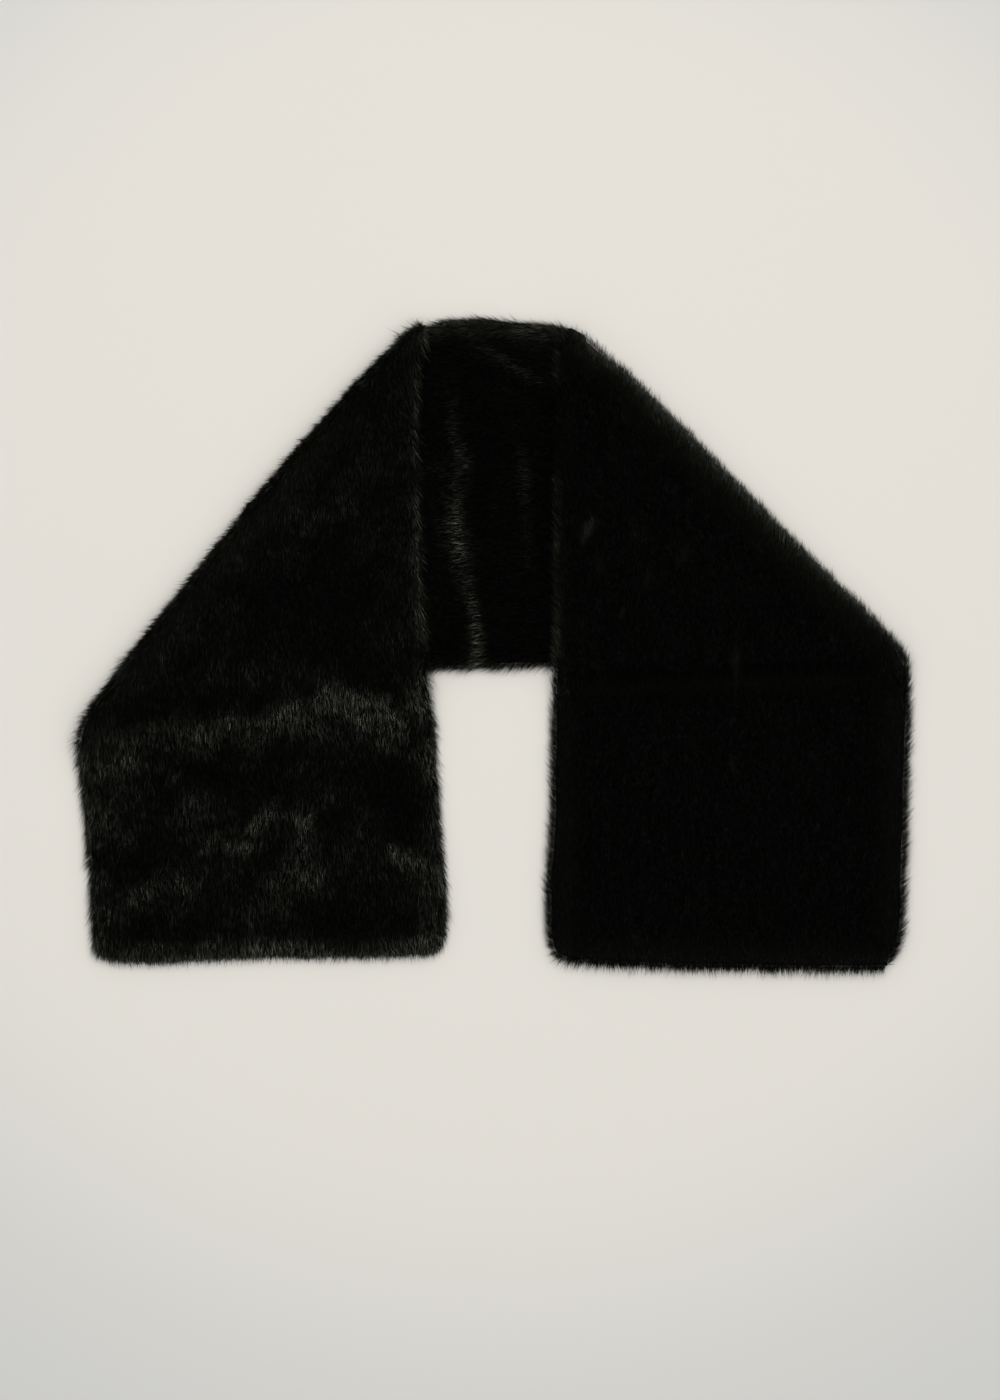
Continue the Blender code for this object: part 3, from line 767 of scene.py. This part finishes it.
def comb(pelt, coat, roots, normals, rng):
    """Middle and tip of each hair, the direction across it, and its shade with painted sheen laid on.
    """
    count = len(roots)
    nap = np.array(pelt.nap) / math.hypot(*pelt.nap)
    across = np.array((-nap[1], nap[0]))
    seen = roots[:, :2] + nap * SEEN_REACH
    warp = np.stack([layered(roots, (layer,), 0) for layer in LOCK_WARP], axis=1)
    along_nap = (roots[:, :2] + warp) @ nap
    across_nap = (roots[:, :2] + warp) @ across
    cells = np.stack([along_nap, across_nap], axis=1) / coat.lock
    whole = np.floor(cells).astype(np.int64)
    lock = lock_numbers(whole, pelt.seed)
    aside = (cells - whole - 0.5) * coat.lock * coat.pull

    turn = layered(roots, TURN_WAVES, pelt.seed)
    turn += LOCK_TURN * lock[:, 0] + coat.stray * rng.normal(0, 1, count)
    turn = np.radians(turn)
    rise = pelt.lift + LOCK_RISE * lock[:, 1]
    rise += pelt.uneven * layered(roots, RISE_WAVES, pelt.seed)
    rise += STRAY_RISE_SHARE * coat.stray * rng.normal(0, 1, count)
    ruffle = ruffled(seen, pelt.ruffles)
    rise -= np.where(ruffle > 0, FLATTEN, RAISE) * ruffle
    steep = np.clip(EDGE_GAIN * (1 - normals[:, 2] * pelt.side), 0, 1)
    root_rise = coat.root_rise + (coat.edge_root_rise - coat.root_rise) * steep + rise
    tip_rise = coat.tip_rise + (coat.edge_tip_rise - coat.tip_rise) * steep + rise
    root_rise = np.radians(np.maximum(root_rise, LEAST_ROOT_RISE))
    tip_rise = np.radians(np.maximum(tip_rise, LEAST_TIP_RISE))

    lie = np.zeros((count, 3))
    lie[:, 0] = nap[0] * np.cos(turn) - nap[1] * np.sin(turn)
    lie[:, 1] = nap[0] * np.sin(turn) + nap[1] * np.cos(turn)
    lie = unit(turned(lie, np.array((0.0, 0.0, float(pelt.side))), normals))
    length = coat.length * rng.uniform(*LENGTH_RANGE, count) * (1 + LOCK_LENGTH * lock[:, 2])
    length *= 1 - OVERHANG_TRIM * np.maximum(overhang(pelt, normals), 0)
    first = normals * np.sin(root_rise)[:, None] + lie * np.cos(root_rise)[:, None]
    second = normals * np.sin(tip_rise)[:, None] + lie * np.cos(tip_rise)[:, None]
    middle = roots + first * (length * MIDDLE_SHARE)[:, None]
    tip = middle + second * (length * (1 - MIDDLE_SHARE))[:, None]
    side = unit(np.cross(normals, lie))
    tip[:, :2] -= nap * aside[:, :1] + across * aside[:, 1:]
    height = np.maximum(middle[:, 2], tip[:, 2]) - roots[:, 2]
    share = np.clip((HAIR_TOP - roots[:, 2]) / np.maximum(height, 1e-6), 0, 1)[:, None]
    middle = roots + (middle - roots) * share
    tip = roots + (tip - roots) * share
    roll = rng.uniform(*ROLL_RANGE, count)
    upward = unit(np.cross(lie, side))
    width = side * np.cos(roll)[:, None] + upward * np.sin(roll)[:, None]
    width *= (coat.width * rng.uniform(*WIDTH_RANGE, count) / 2)[:, None]
    # Painted sheen: the runs of painted sheen raise the shade, and so the colour, of the hairs they
    # reach.
    shade = SHADE_SPREAD * rng.random(count) + ruffled(seen, pelt.pale)
    return middle, tip, width, np.clip(shade, 0, 1)


def hair_object(name, pelt, coat, data, count, seed):
    """Tapered hairs as one mesh: two triangles each, widest at the bend."""
    rng = np.random.default_rng(seed)
    roots, normals = scatter(data, count, rng, FRINGE_FLAT_SHARE if coat is FRINGE else 1)
    middle, tip, width, shades = comb(pelt, coat, roots, normals, rng)
    points = np.stack([roots, middle - width, middle + width, tip], axis=1).reshape(-1, 3)
    lowest = FLOOR_CLEARANCE + FLOOR_SPREAD * rng.random(len(points))
    points[:, 2] = np.maximum(points[:, 2], lowest)
    corners = np.array((0, 1, 2, 1, 3, 2)) + 4 * np.arange(count)[:, None]
    mesh = bpy.data.meshes.new(name)
    mesh.vertices.add(4 * count)
    mesh.vertices.foreach_set("co", points.ravel())
    mesh.loops.add(6 * count)
    mesh.loops.foreach_set("vertex_index", corners.ravel())
    mesh.polygons.add(2 * count)
    mesh.polygons.foreach_set("loop_start", np.arange(0, 6 * count, 3))
    # The shade attribute carries each hair's own tone and its painted sheen.
    shade = mesh.attributes.new("shade", "FLOAT", "POINT")
    shade.data.foreach_set("value", np.repeat(shades, 4))
    mesh.update(calc_edges=True)
    mesh.shade_smooth()
    hair = bpy.data.objects.new(name, mesh)
    bpy.context.scene.collection.objects.link(hair)
    return hair


# Materials

# A coat's look: its darkest colour and the palest, which painted sheen reaches, its roughness from
# the darkest hair to the end of the usual spread of shades, and its shine.
FurLook = namedtuple("FurLook", "dark light roughness_low roughness_high specular")
HAIR_LOOK = FurLook((0.0001, 0.0001, 0.0001), (0.0280, 0.0300, 0.0220), 0.31, 0.41, 0.50)
# Painted shade: a copy of the guard hair with less shine, which makes the right front read darker.
SHADED_HAIR_LOOK = HAIR_LOOK._replace(specular=0.29)
UNDERCOAT_LOOK = FurLook((0.0001, 0.0001, 0.0001), (0.0280, 0.0300, 0.0220), 0.45, 0.65, 0.06)
SHEEN_TINT = (0.98, 1.0, 0.80)
# Underfur on the hide: its colours and where the grain turns from one to the other, the grain's
# scale, detail and depth, and its roughness and shine.
HIDE_COLORS = ((0.0001, 0.0001, 0.0001), (0.0004, 0.0004, 0.0003))
HIDE_CHANGE = (0.35, 0.7)
GRAIN_SCALE = 420
GRAIN_DETAIL = 4
GRAIN_DEPTH = 0.0015
HIDE_ROUGHNESS = 0.8
HIDE_SPECULAR = 0.1


def new_material(name):
    """Material with its nodes and links."""
    material = bpy.data.materials.new(name)
    material.use_nodes = True
    return material, material.node_tree.nodes, material.node_tree.links


def hair_material(name, look):
    """Each hair has its own shade and polish, and painted sheen turns its shade paler."""
    material, nodes, links = new_material(name)
    shader = nodes["Principled BSDF"]
    shade = nodes.new("ShaderNodeAttribute")
    shade.attribute_name = "shade"
    ramp = nodes.new("ShaderNodeValToRGB")
    ramp.color_ramp.elements[0].color = (*look.dark, 1)
    ramp.color_ramp.elements[1].color = (*look.light, 1)
    polish = nodes.new("ShaderNodeMapRange")
    polish.inputs["From Max"].default_value = SHADE_SPREAD
    polish.inputs["To Min"].default_value = look.roughness_low
    polish.inputs["To Max"].default_value = look.roughness_high
    links.new(shade.outputs["Fac"], ramp.inputs["Fac"])
    links.new(ramp.outputs["Color"], shader.inputs["Base Color"])
    links.new(shade.outputs["Fac"], polish.inputs["Value"])
    links.new(polish.outputs["Result"], shader.inputs["Roughness"])
    shader.inputs["Specular IOR Level"].default_value = look.specular
    shader.inputs["Specular Tint"].default_value = (*SHEEN_TINT, 1)
    return material


def hide_material():
    """Dense dark underfur at the roots, uneven in shade, with a fine raised grain."""
    material, nodes, links = new_material("hide_fur")
    shader = nodes["Principled BSDF"]
    place = nodes.new("ShaderNodeTexCoord")
    grain = nodes.new("ShaderNodeTexNoise")
    grain.inputs["Scale"].default_value = GRAIN_SCALE
    grain.inputs["Detail"].default_value = GRAIN_DETAIL
    ramp = nodes.new("ShaderNodeValToRGB")
    for stop, share, color in zip(ramp.color_ramp.elements, HIDE_CHANGE, HIDE_COLORS):
        stop.position = share
        stop.color = (*color, 1)
    bump = nodes.new("ShaderNodeBump")
    bump.inputs["Distance"].default_value = GRAIN_DEPTH
    links.new(place.outputs["Object"], grain.inputs["Vector"])
    links.new(grain.outputs["Fac"], ramp.inputs["Fac"])
    links.new(grain.outputs["Fac"], bump.inputs["Height"])
    links.new(ramp.outputs["Color"], shader.inputs["Base Color"])
    links.new(bump.outputs["Normal"], shader.inputs["Normal"])
    shader.inputs["Roughness"].default_value = HIDE_ROUGHNESS
    shader.inputs["Specular IOR Level"].default_value = HIDE_SPECULAR
    return material


# Wrap


def dress():
    """Hide and hair of every pelt, each sheet with its cut."""
    guard_looks = {
        "guard_hair": hair_material("guard_hair", HAIR_LOOK),
        "shaded_guard_hair": hair_material("shaded_guard_hair", SHADED_HAIR_LOOK),
    }
    undercoat_look = hair_material("undercoat", UNDERCOAT_LOOK)
    hide_look = hide_material()
    for pelt in PELTS:
        hide = hide_object(pelt)
        coats = []
        for coat, label, count, look in (
            (UNDERCOAT, "_undercoat", pelt.undercoat, undercoat_look),
            (GUARD_HAIR, "_guard_hair", pelt.guard, guard_looks[pelt.look]),
            (FRINGE, "_fringe", pelt.fringe, guard_looks[pelt.look]),
        ):
            seed = pelt.seed + len(label)
            hair = hair_object(pelt.name + label, pelt, coat, hide.data, count, seed)
            hair.data.materials.append(look)
            coats.append(hair)
        wall = hide.modifiers.new("thickness", "SOLIDIFY")
        wall.thickness = HIDE_THICKNESS
        wall.offset = -1
        apply_modifiers(hide)
        hide.data.shade_smooth()
        hide.data.materials.clear()
        hide.data.materials.append(hide_look)
        for piece in (hide, *coats):
            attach(piece, "root")
        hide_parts(pelt.node)


# Stage

FLOOR_SIZE = 7.0
FLOOR_ROUGHNESS = 0.85
FLOOR_SPECULAR = 0.15
# The table's colour near the wrap, and the darker colour further out that is painted shade for light
# falling off towards the frame's edges, and the distances from the middle between which the one
# changes to the other.
FLOOR_COLOR = (0.803, 0.779, 0.735)
FLOOR_SHADE_COLOR = (0.678, 0.678, 0.667)
FLOOR_MIDDLE = (0.0, 0.05)
FLOOR_SHADE_RANGE = (0.55, 0.95)
SOFTBOX_PLACE = (0.07, 0.45, 3.60)
SOFTBOX_SIZE = 2.77
SOFTBOX_ENERGY = 79.0
SOFTBOX_COLOR = (1.0, 0.970, 0.920)
# Even light from a round patch of sky: its width, strength and lean away from straight above.
Sky = namedtuple("Sky", "name spread strength lean")
SKIES = (
    Sky("bright_sky", math.radians(50), 0.52, math.radians(9)),
    Sky("wide_sky", math.radians(125), 0.80, math.radians(4)),
)
SKY_COLOR = (0.97, 0.99, 1.0)
SKY_PLACE = (0, 0, 3)
FILL_STRENGTH = 0.06


def add_stage():
    """Pale table with painted shade towards its edges, softbox, sky light and a faint fill."""
    bpy.ops.mesh.primitive_plane_add(size=FLOOR_SIZE)
    floor = bpy.context.object
    floor.name = "floor"
    material, nodes, links = new_material("pale_floor")
    shader = nodes["Principled BSDF"]
    place = nodes.new("ShaderNodeTexCoord")
    distance = nodes.new("ShaderNodeVectorMath")
    distance.operation = "DISTANCE"
    distance.inputs[1].default_value = (*FLOOR_MIDDLE, 0)
    shade_fade = nodes.new("ShaderNodeMapRange")
    shade_fade.interpolation_type = "SMOOTHSTEP"
    shade_fade.inputs["From Min"].default_value = FLOOR_SHADE_RANGE[0]
    shade_fade.inputs["From Max"].default_value = FLOOR_SHADE_RANGE[1]
    # Painted shade: the table darkens from its own colour to the shaded colour away from the middle.
    shade_paint = nodes.new("ShaderNodeValToRGB")
    shade_paint.color_ramp.elements[0].color = (*FLOOR_COLOR, 1)
    shade_paint.color_ramp.elements[1].color = (*FLOOR_SHADE_COLOR, 1)
    links.new(place.outputs["Object"], distance.inputs[0])
    links.new(distance.outputs["Value"], shade_fade.inputs["Value"])
    links.new(shade_fade.outputs["Result"], shade_paint.inputs["Fac"])
    links.new(shade_paint.outputs["Color"], shader.inputs["Base Color"])
    shader.inputs["Roughness"].default_value = FLOOR_ROUGHNESS
    shader.inputs["Specular IOR Level"].default_value = FLOOR_SPECULAR
    floor.data.materials.append(material)

    lamp = bpy.data.lights.new("softbox", "AREA")
    lamp.shape = "SQUARE"
    lamp.size = SOFTBOX_SIZE
    lamp.energy = SOFTBOX_ENERGY
    lamp.color = SOFTBOX_COLOR
    softbox = bpy.data.objects.new("softbox", lamp)
    softbox.location = SOFTBOX_PLACE
    softbox.visible_camera = False
    bpy.context.scene.collection.objects.link(softbox)

    for sky in SKIES:
        light = bpy.data.lights.new(sky.name, "SUN")
        light.angle = sky.spread
        light.energy = sky.strength
        light.color = SKY_COLOR
        patch = bpy.data.objects.new(sky.name, light)
        patch.rotation_euler = (-sky.lean, 0, 0)
        patch.location = SKY_PLACE
        bpy.context.scene.collection.objects.link(patch)

    world = bpy.data.worlds.new("studio")
    world.use_nodes = True
    background = world.node_tree.nodes["Background"]
    background.inputs["Color"].default_value = (*SKY_COLOR, 1)
    background.inputs["Strength"].default_value = FILL_STRENGTH
    bpy.context.scene.world = world
    bpy.context.scene.view_settings.view_transform = "Standard"


def add_camera():
    """Camera straight above the table."""
    lens = bpy.data.cameras.new("camera")
    lens.sensor_width = SENSOR_HEIGHT
    lens.lens = SENSOR_HEIGHT * (VIEW_HEIGHT - VIEW_LEVEL) / FRAME_HEIGHT
    lens.clip_end = VIEW_REACH
    camera = bpy.data.objects.new("camera", lens)
    camera.location = (*VIEW_CENTRE, VIEW_HEIGHT)
    bpy.context.scene.collection.objects.link(camera)
    bpy.context.scene.camera = camera


add_camera()
add_stage()
dress()
